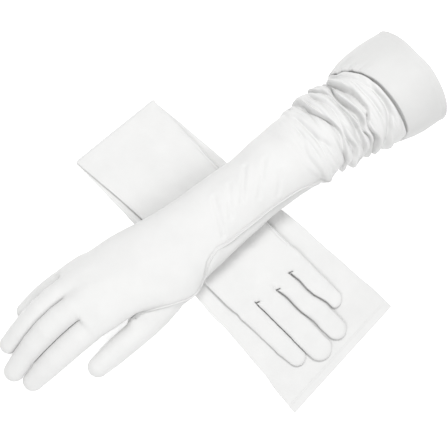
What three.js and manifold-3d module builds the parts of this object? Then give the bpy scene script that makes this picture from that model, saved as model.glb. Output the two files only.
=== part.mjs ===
// A pair of opera gloves in stretch fabric: the right glove is filled out and lies across the left one,
// which is folded in half and lies flat. Millimetres. +Z is up and z = 0 is the surface they lie on.
// +X runs along the right glove from its fingertips to its cuff. The origin is on the surface, where
// the two gloves cross.
import * as THREE from "three";
import { mergeVertices } from "three/addons/utils/BufferGeometryUtils.js";
import Module from "manifold-3d";

const wasm = await Module();
wasm.setup();

// ---------- driving dimensions ----------
const WALL = 1.0; // one layer of fabric
const GAP = 0.3; // clear space between neighbouring pieces
const ROUND = 24; // facets round a full tube
const FINGER_FACETS = 16;
const PANEL_FACETS = 14; // round half of the arm or hand
const CAP_STEPS = 4; // rings in a rounded fingertip

const CROTCH_X = -151; // the right hand ends here and its fingers begin
const FINGER_JOINT_X = -189; // middle knuckle of the index, middle and ring fingers
const LITTLE_JOINT_X = -173;
const THUMB_ROOT_X = -84;
const THUMB_JOINT_X = -132;
const WRIST_X = -45;
const HAND_SEAM_END_X = -117; // the side seam runs to the root of the index finger
const THUMB_CLEARANCE = 2.0; // the hand stays this far off the thumb, so it can open
const GATHER_START_X = 78;
const BAND_START_X = 170;
const CUFF_END_X = 217;
const GATHER_COUNT = 5;
const GATHER_DEPTH = 2.2; // how far a gather stands out between its two creases
const BAND_WALL = 1.8; // the band is two plies
const HEM_LENGTH = 12;
const ELASTIC_INSET = 3; // from the band's inner edge
const ELASTIC_LENGTH = 6;
const SEAM_HALF_ANGLE = 2.5;
const SEAM_HEIGHT = 0.9;

const LOWER_BOTTOM_Z = 0; // left glove: the sleeve half, flat on the surface
const LOWER_TOP_Z = 1.7;
const LEAF_BOTTOM_Z = 3.2; // left glove: the half folded over it
const LEAF_TOP_Z = 4.9;
const THUMB_Z = 3.2; // tucked under the hand
const THUMB_THICKNESS = 1.5;
const HAND_BOTTOM_Z = 5.0;
const HAND_TOP_Z = 6.6;
const LEFT_FINGER_Z = 5.2;
const LEFT_FINGER_HALF_HEIGHT = 1.9;
const LEFT_WALL = 0.9;
const LEFT_WRIST_Y = -50;
const ROLL_RADIUS = 3.05;
const HEM_BAND = 8;
const PIPE_RADIUS = 0.8;
const STRIP_WIDTH = 3; // flat side seams between two plies
const STRIP_THICKNESS = 0.3;
const STRIP_CLEARANCE = 0.2;
const FOLD_STEPS = 8;

// The right arm and hand, from cuff to knuckles: x, centre y and z, half width and half height,
// roll about X in degrees, and the angle round the tube where the thumb-side seam runs.
const ARM = [
  [217, 10.7, 46.0, 46.4, 45.4, 0, 140],
  [187, 12.9, 46.2, 45.9, 45.2, 0, 140],
  [170, 13.2, 44.8, 43.2, 42.8, 0, 140],
  [150, 12.2, 41.8, 39.2, 38.2, 0, 140],
  [120, 13.5, 40.4, 38.0, 35.0, 0, 140],
  [100, 12.9, 38.6, 35.8, 32.4, 0, 141],
  [78, 14.0, 36.8, 33.1, 30.2, 0, 142],
  [60, 13.4, 35.0, 32.6, 28.6, 0, 142],
  [40, 11.8, 33.6, 31.3, 27.2, 0, 142],
  [20, 10.5, 33.0, 32.4, 26.6, 0, 141],
  [0, 9.5, 32.4, 33.4, 26.0, 0, 140],
  [-20, 7.8, 31.6, 34.6, 25.2, 0, 138],
  [-40, 6.9, 30.6, 35.9, 24.2, -1, 150],
  [-58, 3.9, 29.6, 41.0, 22.8, -3, 180],
  [-75, 6.8, 28.2, 41.2, 20.6, -6, 180],
  [-90, 11.6, 27.4, 38.2, 18.8, -10, 180],
  [-105, 15.0, 26.8, 35.6, 17.4, -14, 180],
  [-120, 16.4, 26.2, 35.0, 16.4, -17, 180],
  [-136, 17.2, 25.4, 34.8, 15.4, -19, 180],
  [CROTCH_X, 17.6, 24.6, 34.2, 14.2, -20, 180],
];

// Right fingers: x, centre y and z, half width and half height at each station, then the tip's length.
const FINGERS = {
  index: {
    joint: FINGER_JOINT_X,
    tip: 10.5,
    stations: [
      [-152, -6.2, 30.0, 11.6, 9.8],
      [-170, -7.4, 28.0, 11.4, 9.6],
      [-189, -9.7, 23.4, 10.9, 9.4],
      [-203, -11.9, 18.6, 10.1, 9.0],
      [-213.5, -13.9, 14.6, 9.2, 8.4],
    ],
  },
  middle: {
    joint: FINGER_JOINT_X,
    tip: 11,
    stations: [
      [-152, 17.4, 32.4, 10.4, 9.4],
      [-172, 15.8, 31.0, 10.4, 9.2],
      [-189, 12.7, 26.6, 10.0, 9.0],
      [-205, 8.4, 20.8, 9.5, 8.8],
      [-221.5, 2.9, 14.8, 9.2, 8.4],
    ],
  },
  ring: {
    joint: FINGER_JOINT_X,
    tip: 9.5,
    stations: [
      [-152, 35.7, 24.4, 8.9, 7.9],
      [-172, 34.2, 23.2, 8.8, 7.7],
      [-189, 30.8, 20.0, 8.6, 7.5],
      [-201, 27.8, 16.6, 8.5, 7.4],
      [-212.5, 24.2, 12.6, 8.2, 7.2],
    ],
  },
  little: {
    joint: LITTLE_JOINT_X,
    tip: 8,
    stations: [
      [-152, 45.0, 9.6, 7.4, 6.9],
      [-162, 44.2, 9.2, 7.4, 6.8],
      [-173, 43.0, 8.6, 7.1, 6.6],
      [-186, 40.4, 8.0, 6.8, 6.4],
    ],
  },
};

const THUMB = {
  tip: 9.5,
  stations: [
    [-66, -22.0, 24.0, 13.0, 11.0],
    [-84, -28.0, 20.0, 12.4, 10.4],
    [-104, -32.6, 16.4, 11.4, 10.0],
    [-132, -34.8, 13.0, 11.1, 9.4],
    [-148, -36.4, 11.6, 10.5, 8.8],
    [-162.5, -38.0, 10.2, 9.3, 8.0],
  ],
};

// Left glove, flat. Each edge is a list of [x, y] points on the surface.
const LOWER_LEFT_EDGE = [[-73, 124], [-62.6, 49], [-55.5, -39], [-48.3, -102], [-44.2, -177]];
const LOWER_RIGHT_EDGE = [[88, -152.5], [78.3, -109.5], [57, -21], [40, 46.5], [18.7, 131]];
const LEAF_LEFT_EDGE = [[-71, 121], [-54.8, 47.7], [-44, -24], [-39.5, LEFT_WRIST_Y]];
const LEAF_RIGHT_EDGE = [[42.6, LEFT_WRIST_Y], [37.6, -24], [30.9, 45.3], [25.7, 82], [16.4, 127]];
const HAND_OUTLINE = [
  [-39.5, LEFT_WRIST_Y - GAP], [-34.4, -76], [-14.4, -75.6], [-13.4, -75.6], [7.2, -77.2],
  [8.4, -77.2], [26.6, -71.6], [46.6, -73], [42.6, LEFT_WRIST_Y - GAP],
];
const PIPING_PATH = [[40.4, -51.5], [42.2, -62], [44.2, -72]];
const THUMB_OUTLINE = [[-33, -53], [8, -54], [17, -57.5], [19, -63], [15, -69], [6, -73], [-30, -74]];
const LEFT_FINGERS = {
  index: [[-76.6, -24.7, 9.3], [-102, -19.6, 9.2], [-122, -16.6, 8.6], [-136.5, -13.0, 8.2]],
  middle: [[-78.2, -3.4, 10.0], [-102, 2.0, 11.0], [-122, 4.9, 11.3], [-143, 9.3, 11.2]],
  ring: [[-78, 17.8, 8.7], [-98, 23.2, 9.0], [-116, 27.6, 9.6], [-138, 32.0, 9.2]],
  little: [[-74.2, 37.2, 9.2], [-98, 42.5, 8.8], [-114.5, 46.0, 8.0]],
};
const LEFT_TIP_LENGTH = { index: 8.8, middle: 11, ring: 9.6, little: 8.2 };

// ---------- materials ----------
const WHITE = 0xf2f2f0;

function white(name, roughness) {
  return new THREE.MeshStandardMaterial({ name, color: WHITE, roughness, metalness: 0 });
}

const FABRIC = white("fabric", 0.85);
const BAND = white("band", 0.8);
const SEAM = white("seam", 0.7);

const gloves = new THREE.Group();

function addMesh(name, geometry, material) {
  const mesh = new THREE.Mesh(geometry, material);
  mesh.name = name;
  gloves.add(mesh);
}

// ---------- shells of round section, along X or along Y ----------
const radians = (degrees) => (degrees * Math.PI) / 180;

// A station between two neighbours, so a shell can begin or end anywhere along a table.
function stationAt(table, position) {
  const falling = table[0][0] > table[table.length - 1][0];
  const order = falling ? -1 : 1;
  let i = 0;
  while (i < table.length - 2 && order * table[i + 1][0] < order * position) i += 1;
  const [a, b] = [table[i], table[i + 1]];
  const t = (position - a[0]) / (b[0] - a[0]);
  return a.map((value, k) => value + (b[k] - value) * t);
}

function stretch(table, start, end) {
  const low = Math.min(start, end);
  const high = Math.max(start, end);
  const inside = table.filter((row) => row[0] > low + 1 && row[0] < high - 1);
  return [stationAt(table, start), ...inside, stationAt(table, end)];
}

// A rounded end: the last station, then smaller and smaller ones as a quarter ellipse.
function roundedEnd(last, length, direction) {
  const rings = [];
  for (let k = 1; k < CAP_STEPS; k += 1) {
    const angle = (k / CAP_STEPS) * (Math.PI / 2);
    const [at, side, up, w, h, ...rest] = last;
    const shrink = Math.cos(angle);
    rings.push([at + direction * length * Math.sin(angle), side, up, w * shrink, h * shrink, ...rest]);
  }
  return rings;
}

function ringPoint(row, angle, inset, alongX) {
  const [at, side, up, w, h, roll = 0] = row;
  const a = radians(angle);
  const r = radians(roll);
  const across = (w - inset) * Math.cos(a);
  const rise = (h - inset) * Math.sin(a);
  const s = side + across * Math.cos(r) - rise * Math.sin(r);
  const u = up + across * Math.sin(r) + rise * Math.cos(r);
  return alongX ? [at, s, u] : [s, at, u];
}

// One closed wall between two concentric skins. A full turn makes a tube with open ends, and less makes
// a panel. With a pole, the last ring closes on it and the tube becomes a thimble.
function shell(rows, { outset = 0, wall = WALL, arc = null, facets = ROUND, pole = 0, alongX = true }) {
  const full = arc === null;
  const count = full ? facets : facets + 1;
  const points = [];
  const faces = [];
  const index = (layer, i, j) => (layer * rows.length + i) * count + (full ? j % count : j);
  for (const inset of [-outset, wall - outset])
    for (const row of rows) {
      const [from, to] = full ? [0, 360] : arc(row);
      for (let j = 0; j < count; j += 1)
        points.push(ringPoint(row, from + ((to - from) * j) / facets, inset, alongX));
    }
  const quad = (a, b, c, d) => faces.push([a, b, c], [a, c, d]);
  const end = rows.length - 1;
  for (let j = 0; j < facets; j += 1) {
    for (let i = 0; i < end; i += 1) {
      quad(index(0, i, j), index(0, i + 1, j), index(0, i + 1, j + 1), index(0, i, j + 1));
      quad(index(1, i, j + 1), index(1, i + 1, j + 1), index(1, i + 1, j), index(1, i, j));
    }
    quad(index(0, 0, j + 1), index(1, 0, j + 1), index(1, 0, j), index(0, 0, j));
    if (!pole) quad(index(0, end, j), index(1, end, j), index(1, end, j + 1), index(0, end, j + 1));
  }
  if (!full)
    for (let i = 0; i < end; i += 1) {
      quad(index(0, i, 0), index(1, i, 0), index(1, i + 1, 0), index(0, i + 1, 0));
      quad(index(0, i + 1, facets), index(1, i + 1, facets), index(1, i, facets), index(0, i, facets));
    }
  if (pole) {
    const [at, side, up] = rows[end];
    const place = (reach) => (alongX ? [at + reach, side, up] : [side, at + reach, up]);
    const outerPole = points.push(place(pole)) - 1;
    const innerPole = points.push(place(pole - Math.sign(pole) * wall * 0.5)) - 1;
    for (let j = 0; j < facets; j += 1) {
      faces.push([index(0, end, j), outerPole, index(0, end, j + 1)]);
      faces.push([index(1, end, j + 1), innerPole, index(1, end, j)]);
    }
  }
  return closedGeometry(points, faces);
}

// Makes the geometry, turned right side out.
function closedGeometry(points, faces) {
  const corners = faces.map((face) => face.map((i) => new THREE.Vector3(...points[i])));
  const volume = corners.reduce((sum, [a, b, c]) => sum + a.dot(b.clone().cross(c)), 0);
  const geometry = new THREE.BufferGeometry();
  geometry.setAttribute("position", new THREE.Float32BufferAttribute(points.flat(), 3));
  geometry.setIndex(faces.flatMap(([a, b, c]) => (volume < 0 ? [a, c, b] : [a, b, c])));
  return geometry;
}

// A closed tip: the last stretch of a finger with its rounded end.
function thimble(rows, tipLength, options) {
  const direction = Math.sign(rows[rows.length - 1][0] - rows[0][0]);
  const cap = roundedEnd(rows[rows.length - 1], tipLength, direction);
  const reached = tipLength * Math.sin((Math.PI / 2) * ((CAP_STEPS - 1) / CAP_STEPS));
  return shell([...rows, ...cap], { ...options, pole: direction * (tipLength - reached) });
}

// ---------- flat plies ----------
// A ply is extruded upwards from z; its outline runs round the piece once.
function ply(outline, z, thickness) {
  const shape = new THREE.Shape(outline.map(([x, y]) => new THREE.Vector2(x, y)));
  const geometry = new THREE.ExtrudeGeometry(shape, { depth: thickness, bevelEnabled: false });
  return geometry.translate(0, 0, z);
}

// A thin cord of piping laid along points in space.
function piping(points, radius) {
  const path = new THREE.CatmullRomCurve3(points.map((p) => new THREE.Vector3(...p)));
  const section = new THREE.Shape().absarc(0, 0, radius, 0, Math.PI * 2, false);
  return new THREE.ExtrudeGeometry(section, {
    steps: points.length * 3,
    curveSegments: 6,
    bevelEnabled: false,
    extrudePath: path,
  });
}

// ---------- cutting ----------
function toSolid(geometry) {
  const bare = geometry.clone();
  bare.deleteAttribute("normal");
  bare.deleteAttribute("uv");
  const merged = mergeVertices(bare, 1e-4);
  return new wasm.Manifold(
    new wasm.Mesh({
      numProp: 3,
      vertProperties: merged.attributes.position.array,
      triVerts: new Uint32Array(merged.index.array),
    }),
  );
}

function cutAway(geometry, tool) {
  const result = toSolid(geometry).subtract(toSolid(tool)).getMesh();
  const cut = new THREE.BufferGeometry();
  cut.setAttribute("position", new THREE.Float32BufferAttribute(result.vertProperties, 3));
  cut.setIndex(new THREE.Uint32BufferAttribute(result.triVerts, 1));
  return cut;
}

// ---------- right glove ----------
const ULNAR_SEAM = -14; // angle of the little-finger-side join
const backArc = (row) => [ULNAR_SEAM, row[6] - SEAM_HALF_ANGLE / 2];
const palmArc = (row) => [row[6] + SEAM_HALF_ANGLE / 2, 360 + ULNAR_SEAM - SEAM_HALF_ANGLE / 2];
const seamArc = (row) => [row[6] - SEAM_HALF_ANGLE, row[6] + SEAM_HALF_ANGLE];

// The whole space inside a shell and its wall, as one solid, grown by a clearance.
function filledLoft(rows, grow) {
  const points = [];
  const faces = [];
  for (const row of rows)
    for (let j = 0; j < ROUND; j += 1) points.push(ringPoint(row, (360 * j) / ROUND, -grow, true));
  const at = (i, j) => i * ROUND + (j % ROUND);
  const end = rows.length - 1;
  const first = points.push(rows[0].slice(0, 3)) - 1;
  const last = points.push(rows[end].slice(0, 3)) - 1;
  for (let j = 0; j < ROUND; j += 1) {
    for (let i = 0; i < end; i += 1) {
      faces.push([at(i, j), at(i + 1, j), at(i + 1, j + 1)]);
      faces.push([at(i, j), at(i + 1, j + 1), at(i, j + 1)]);
    }
    faces.push([first, at(0, j), at(0, j + 1)]);
    faces.push([last, at(end, j + 1), at(end, j)]);
  }
  return closedGeometry(points, faces);
}

function addRightHand() {
  const rows = stretch(ARM, WRIST_X - GAP / 2, CROTCH_X + GAP);
  const thumbTool = filledLoft(THUMB.stations, THUMB_CLEARANCE);
  for (const [name, arc] of [["right_hand_back", backArc], ["right_palm", palmArc]]) {
    const panel = shell(rows, { arc, facets: PANEL_FACETS });
    addMesh(name, cutAway(panel, thumbTool), FABRIC);
  }
  const seamRows = stretch(ARM, WRIST_X - GAP, HAND_SEAM_END_X);
  const seam = shell(seamRows, { arc: seamArc, outset: SEAM_HEIGHT + GAP, wall: SEAM_HEIGHT, facets: 2 });
  addMesh("right_hand_side_seam", cutAway(seam, thumbTool), SEAM);
}

function addRightThumb() {
  const { stations, tip } = THUMB;
  const root = stretch(stations, THUMB_ROOT_X, THUMB_JOINT_X + GAP / 2);
  addMesh("right_thumb_base", shell(root, { facets: FINGER_FACETS }), FABRIC);
  const end = stretch(stations, THUMB_JOINT_X - GAP / 2, stations[stations.length - 1][0]);
  addMesh("right_thumb_tip", thimble(end, tip, { facets: FINGER_FACETS }), FABRIC);
}

function addRightFingers() {
  for (const [name, { stations, joint, tip }] of Object.entries(FINGERS)) {
    const base = stretch(stations, stations[0][0], joint + GAP / 2);
    addMesh(`right_${name}_base`, shell(base, { facets: FINGER_FACETS }), FABRIC);
    const end = stretch(stations, joint - GAP / 2, stations[stations.length - 1][0]);
    addMesh(`right_${name}_tip`, thimble(end, tip, { facets: FINGER_FACETS }), FABRIC);
  }
}

function addRightForearm() {
  const rows = stretch(ARM, GATHER_START_X - GAP / 2, WRIST_X + GAP / 2);
  addMesh("right_forearm_back", shell(rows, { arc: backArc, facets: PANEL_FACETS }), FABRIC);
  addMesh("right_forearm_palm", shell(rows, { arc: palmArc, facets: PANEL_FACETS }), FABRIC);
  const seam = { arc: seamArc, outset: SEAM_HEIGHT + GAP, wall: SEAM_HEIGHT, facets: 2 };
  addMesh("right_forearm_side_seam", shell(rows, seam), SEAM);
}

// Each gather is a short tube that stands out between two creases.
function addGathers() {
  const pitch = (BAND_START_X - GATHER_START_X) / GATHER_COUNT;
  for (let k = 0; k < GATHER_COUNT; k += 1) {
    const start = GATHER_START_X + k * pitch + GAP / 2;
    const rows = [];
    for (let step = 0; step <= 4; step += 1) {
      const t = step / 4;
      const row = stationAt(ARM, start + t * (pitch - GAP));
      const bulge = GATHER_DEPTH * (Math.sin(Math.PI * t) - 0.5);
      row[3] += bulge;
      row[4] += bulge;
      rows.push(row);
    }
    addMesh(`right_gather_${k + 1}`, shell(rows, {}), FABRIC);
  }
}

function addCuff() {
  const band = stretch(ARM, CUFF_END_X, BAND_START_X + GAP / 2);
  addMesh("right_cuff_band", shell(band, { wall: BAND_WALL }), BAND);
  const hem = stretch(ARM, CUFF_END_X - 1, CUFF_END_X - 1 - HEM_LENGTH);
  const tucked = { outset: -(BAND_WALL + GAP), wall: WALL };
  addMesh("right_cuff_hem", shell(hem, tucked), BAND);
  const elasticStart = BAND_START_X + ELASTIC_INSET;
  const elastic = stretch(ARM, elasticStart + ELASTIC_LENGTH, elasticStart);
  addMesh("right_cuff_elastic", shell(elastic, tucked), BAND);
}

// ---------- left glove ----------
// The point a given distance from one corner towards another.
function pointTowards([ax, ay], [bx, by], distance) {
  const t = distance / Math.hypot(bx - ax, by - ay);
  return [ax + (bx - ax) * t, ay + (by - ay) * t];
}

function addLeftSleeve() {
  const leftHem = LOWER_LEFT_EDGE.at(-1);
  const rightHem = LOWER_RIGHT_EDGE[0];
  const leftCut = pointTowards(leftHem, LOWER_LEFT_EDGE.at(-2), HEM_BAND);
  const rightCut = pointTowards(rightHem, LOWER_RIGHT_EDGE[1], HEM_BAND);
  const fold = ROLL_RADIUS + GAP;
  const foldLeft = [LOWER_LEFT_EDGE[0][0], LOWER_LEFT_EDGE[0][1] - fold];
  const foldRight = [LOWER_RIGHT_EDGE.at(-1)[0], LOWER_RIGHT_EDGE.at(-1)[1] - fold];
  const sideEdge = [rightCut, ...LOWER_RIGHT_EDGE.slice(1, -1)];
  const outline = [foldLeft, ...LOWER_LEFT_EDGE.slice(1, -1), leftCut, ...sideEdge, foldRight];
  addMesh("left_sleeve_lower_ply", ply(outline, LOWER_BOTTOM_Z, WALL), FABRIC);
  addMesh("left_sleeve_upper_ply", ply(outline, LOWER_TOP_Z, WALL), FABRIC);
  addSideStrip("left_sleeve_seam", sideEdge, LOWER_TOP_Z);
  const hemEdge = ([x, y]) => [x, y - GAP];
  const band = [hemEdge(leftCut), leftHem, rightHem, hemEdge(rightCut)];
  addMesh("left_hem_lower", ply(band, LOWER_BOTTOM_Z, WALL), BAND);
  addMesh("left_hem_upper", ply(band, LOWER_TOP_Z, WALL), BAND);
}

// The side seam of a flat stretch: a narrow strip under its upper ply, along its right-hand edge.
function addSideStrip(name, edge, upperPlyZ) {
  const inner = edge.map(([x, y]) => [x - STRIP_WIDTH, y]).reverse();
  const z = upperPlyZ - STRIP_CLEARANCE - STRIP_THICKNESS;
  addMesh(name, ply([...edge, ...inner], z, STRIP_THICKNESS), SEAM);
}

// The folded end is a half tube along the fold, from the lower half up to the leaf.
function addFoldRoll() {
  const left = LOWER_LEFT_EDGE[0];
  const right = LOWER_RIGHT_EDGE.at(-1);
  const points = [];
  const faces = [];
  const radii = [ROLL_RADIUS, ROLL_RADIUS - WALL];
  for (const [x, y] of [left, right])
    for (const radius of radii)
      for (let k = 0; k <= FOLD_STEPS; k += 1) {
        const a = -Math.PI / 2 + (Math.PI * k) / FOLD_STEPS;
        points.push([x, y - ROLL_RADIUS + radius * Math.cos(a), ROLL_RADIUS + radius * Math.sin(a)]);
      }
  const at = (end, layer, k) => (end * 2 + layer) * (FOLD_STEPS + 1) + k;
  const quad = (a, b, c, d) => faces.push([a, b, c], [a, c, d]);
  for (let k = 0; k < FOLD_STEPS; k += 1) {
    quad(at(0, 0, k), at(1, 0, k), at(1, 0, k + 1), at(0, 0, k + 1));
    quad(at(0, 1, k + 1), at(1, 1, k + 1), at(1, 1, k), at(0, 1, k));
    quad(at(0, 0, k), at(0, 0, k + 1), at(0, 1, k + 1), at(0, 1, k));
    quad(at(1, 0, k + 1), at(1, 0, k), at(1, 1, k), at(1, 1, k + 1));
  }
  quad(at(0, 0, 0), at(0, 1, 0), at(1, 1, 0), at(1, 0, 0));
  quad(at(0, 1, FOLD_STEPS), at(0, 0, FOLD_STEPS), at(1, 0, FOLD_STEPS), at(1, 1, FOLD_STEPS));
  addMesh("left_fold_roll", closedGeometry(points, faces), FABRIC);
}

function addLeftLeaf() {
  const drop = ROLL_RADIUS + GAP;
  const start = [LEAF_LEFT_EDGE[0][0], LEAF_LEFT_EDGE[0][1] - drop];
  const end = [LEAF_RIGHT_EDGE.at(-1)[0], LEAF_RIGHT_EDGE.at(-1)[1] - drop];
  const outline = [start, ...LEAF_LEFT_EDGE.slice(1), ...LEAF_RIGHT_EDGE.slice(0, -1), end];
  addMesh("left_forearm_lower_ply", ply(outline, LEAF_BOTTOM_Z, LEFT_WALL), FABRIC);
  addSideStrip("left_forearm_seam", LEAF_RIGHT_EDGE.slice(0, -1), LEAF_TOP_Z);
  addMesh("left_forearm_upper_ply", ply(outline, LEAF_TOP_Z, LEFT_WALL), FABRIC);
}

function addLeftHand() {
  addMesh("left_palm", ply(HAND_OUTLINE, HAND_BOTTOM_Z, LEFT_WALL), FABRIC);
  addMesh("left_hand_back", ply(HAND_OUTLINE, HAND_TOP_Z, LEFT_WALL), FABRIC);
  addSideStrip("left_hand_seam", HAND_OUTLINE.slice(-2), HAND_TOP_Z);
  addMesh("left_thumb", ply(THUMB_OUTLINE, THUMB_Z, THUMB_THICKNESS), FABRIC);
  const pipeZ = HAND_TOP_Z + LEFT_WALL + GAP + PIPE_RADIUS;
  const path = PIPING_PATH.map(([x, y]) => [x, y, pipeZ]);
  addMesh("left_hand_piping", piping(path, PIPE_RADIUS), SEAM);
}

function addLeftFingers() {
  for (const [name, table] of Object.entries(LEFT_FINGERS)) {
    const rows = table.map(([y, x, w]) => [y, x, LEFT_FINGER_Z, w, LEFT_FINGER_HALF_HEIGHT]);
    const options = { facets: FINGER_FACETS, wall: LEFT_WALL, alongX: false };
    addMesh(`left_${name}`, thimble(rows, LEFT_TIP_LENGTH[name], options), FABRIC);
  }
}

addRightHand();
addRightThumb();
addRightFingers();
addRightForearm();
addGathers();
addCuff();
addLeftSleeve();
addFoldRoll();
addLeftLeaf();
addLeftHand();
addLeftFingers();

export default gloves;
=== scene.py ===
import math

import bmesh
import bpy
import numpy as np
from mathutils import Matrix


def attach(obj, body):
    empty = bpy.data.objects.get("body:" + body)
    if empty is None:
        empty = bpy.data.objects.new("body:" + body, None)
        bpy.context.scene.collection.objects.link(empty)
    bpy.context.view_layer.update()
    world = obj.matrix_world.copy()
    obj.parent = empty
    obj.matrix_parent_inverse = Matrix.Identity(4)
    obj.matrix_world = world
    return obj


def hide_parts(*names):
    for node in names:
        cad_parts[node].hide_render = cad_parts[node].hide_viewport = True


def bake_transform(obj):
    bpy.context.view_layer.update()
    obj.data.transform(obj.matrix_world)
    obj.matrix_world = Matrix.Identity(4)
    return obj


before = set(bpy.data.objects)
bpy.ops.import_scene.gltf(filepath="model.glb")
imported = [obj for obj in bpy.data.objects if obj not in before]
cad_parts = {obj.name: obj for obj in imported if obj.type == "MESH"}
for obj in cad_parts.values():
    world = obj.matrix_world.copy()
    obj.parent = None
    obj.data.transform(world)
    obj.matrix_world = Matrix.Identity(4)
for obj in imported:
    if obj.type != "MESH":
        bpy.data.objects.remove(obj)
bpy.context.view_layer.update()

import openvdb
from mathutils import Matrix, Vector

# A pair of opera gloves: the right one is filled out and lies across the left one, which is folded flat.
# Lengths are millimetres in this script's tables and metres on the Blender objects.
MM = 0.001

# --- right glove: hand
# x, centre y, centre z, half width, half height, roll in degrees
ARM = np.array([
    [217, 10.4, 46.0, 46.1, 45.4, 0],
    [187, 12.3, 46.2, 45.3, 45.2, 0],
    [170, 13.4, 44.8, 42.8, 42.0, 0],
    [150, 12.2, 41.8, 39.0, 38.0, 0],
    [120, 13.5, 40.4, 37.6, 34.8, 0],
    [100, 12.9, 38.6, 35.6, 32.2, 0],
    [78, 14.0, 36.8, 33.1, 30.2, 0],
    [60, 13.4, 35.0, 32.6, 28.6, 0],
    [40, 11.8, 33.6, 31.3, 27.2, 0],
    [20, 10.5, 33.0, 32.4, 26.6, 0],
    [0, 9.5, 32.4, 33.4, 26.0, 0],
    [-20, 7.8, 31.6, 34.8, 25.2, 0],
    [-40, 6.9, 30.6, 36.4, 24.2, -1],
    [-58, 4.2, 29.6, 40.8, 22.8, -3],
    [-75, 6.8, 28.2, 41.2, 20.6, -6],
    [-90, 11.6, 27.4, 38.4, 18.8, -10],
    [-105, 15.0, 26.8, 35.8, 17.4, -14],
    [-120, 16.4, 26.2, 35.0, 16.4, -17],
    [-136, 17.2, 25.4, 34.6, 15.0, -19],
    [-151, 17.6, 24.8, 33.6, 13.2, -20],
])[::-1]

# Each finger: x, y, z, radius across, from inside the palm to the centre of its round tip.
FINGERS = {
    "index": [[-122, -5.0, 31.0, 11.4], [-152, -6.0, 30.0, 12.2], [-170, -7.2, 28.0, 12.4],
              [-189, -9.6, 23.4, 11.8], [-203, -11.8, 18.6, 10.9], [-214.8, -14.2, 14.2, 9.3]],
    "middle": [[-122, 16.0, 32.5, 10.8], [-152, 17.2, 32.4, 11.5], [-172, 15.6, 31.0, 11.8],
               [-189, 12.5, 26.6, 11.5], [-205, 8.4, 20.8, 10.2], [-223.0, 2.2, 14.4, 9.4]],
    "ring": [[-122, 33.5, 27.0, 9.4], [-152, 35.4, 24.8, 9.5], [-172, 33.8, 23.6, 9.4],
             [-189, 30.4, 20.4, 9.2], [-201, 27.4, 17.0, 9.0], [-213.4, 23.8, 12.8, 8.5]],
    "little": [[-122, 42.5, 16.0, 8.0], [-152, 44.6, 10.6, 7.9], [-162, 44.0, 9.8, 7.8],
               [-173, 42.8, 8.9, 7.6], [-186.4, 40.2, 8.1, 7.1]],
}
THUMB = np.array([[-66, -21.0, 24.5, 13.6], [-84, -27.2, 20.5, 13.4], [-104, -32.2, 16.6, 12.0],
                  [-132, -34.8, 13.2, 11.6], [-148, -36.4, 11.8, 11.0], [-162.6, -37.9, 10.4, 9.5]], float)
WEB = np.array([[-78, -20.0, 24.0, 12.5], [-100, -23.0, 20.5, 10.0], [-112.5, -24.5, 18.0, 7.0]], float)
FINGER_FLATTEN = 1.17  # a finger is this much wider than it is high
THUMB_FLATTEN = 1.12
CHAIN_ROWS = 8  # stations along each finger's chain of round cones
CHAIN_FILLET = 0.25
FINGER_FILLET = 0.3  # between two fingers, and how much more it is inside the palm
PALM_FILLET = 7.0
PALM_END_X = -152.5
LITTLE_SETBACK = 8.0
WEB_FILLET = 4.0
THUMB_FILLET = 6.0
FINGER_GAP = 0.05
FINGER_EDGE = 1.0  # rounding of the edges where two fingers part

CROTCH_X = -151.5
FINGER_SPLIT_X = {"index": -181, "middle": -181, "ring": -181, "little": -166}
CURL_X = {"index": -189, "middle": -189, "ring": -189, "little": -173}
THUMB_RING_X = -112
THUMB_SPLIT_X = -125
THUMB_BEND = (-126, -140)
THUMB_SIDE_Y = -20.8  # between the thumb and the index finger, at the thumb's ring
THUMB_LEAN = 0.09
THUMB_TOP_Z = 28
THUMB_EDGE_Y = -17  # all of the thumb's ring lies on the far side of this
THUMB_REACH = 16  # and within this of the thumb's middle line
HAND_END_X = -22  # the hand's own mesh ends here, and the forearm's begins
HAND_BOX = ((-160, -52, 0), (HAND_END_X + 3, 60, 62))
THUMB_BOX = ((-176, -52, 0), (-106, -16, 30))
WRIST_BEND = (-26, -64)
CELL = 0.8  # spacing of the lattice that the hand is meshed on
CUT_SNAP = 1e-4
SLOPE_STEP = 0.15
GROOVE_STEP = 0.2  # the same, where a seam is pressed in

# --- right glove: seams
# Angle round the sleeve of its side seam, by x.
SEAM_ANGLE = np.array([[-60, 180], [-45, 160], [-33, 137], [-3, 138], [17, 140], [47, 145], [70, 150],
                       [90, 165], [120, 176], [170, 180]], float)
# The side seam along the edge of the hand, from the wrist to the thumb's crotch.
HAND_SEAM = np.array([[-33, -20.5, 47.5], [-39, -25.5, 42], [-45, -29.8, 37], [-53, -33.8, 35],
                      [-62, -33.6, 35], [-71, -31.0, 35], [-82, -27.4, 34], [-92, -23.6, 32],
                      [-103, -20.8, 30], [-112, -20.0, 26], [-117, -20.2, 23]], float)
SECOND_ROW = np.array([0.0, 3.0, 1.2])  # from the seam to the second row of stitching beside it
SECOND_ROW_ANGLE = -6.0
SEAM_END_X = 112
SEAM_GROOVE = 1.5  # depth of the groove on its palm side
HAND_GROOVE = 0.75  # the same, over the hand
SEAM_POINTS = 140
WELT_RADII = (0.62, 0.26)  # the sewn edge, and the row of stitches
STITCH_LENGTH = 1.7
WELT_STEP = 0.42

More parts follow.
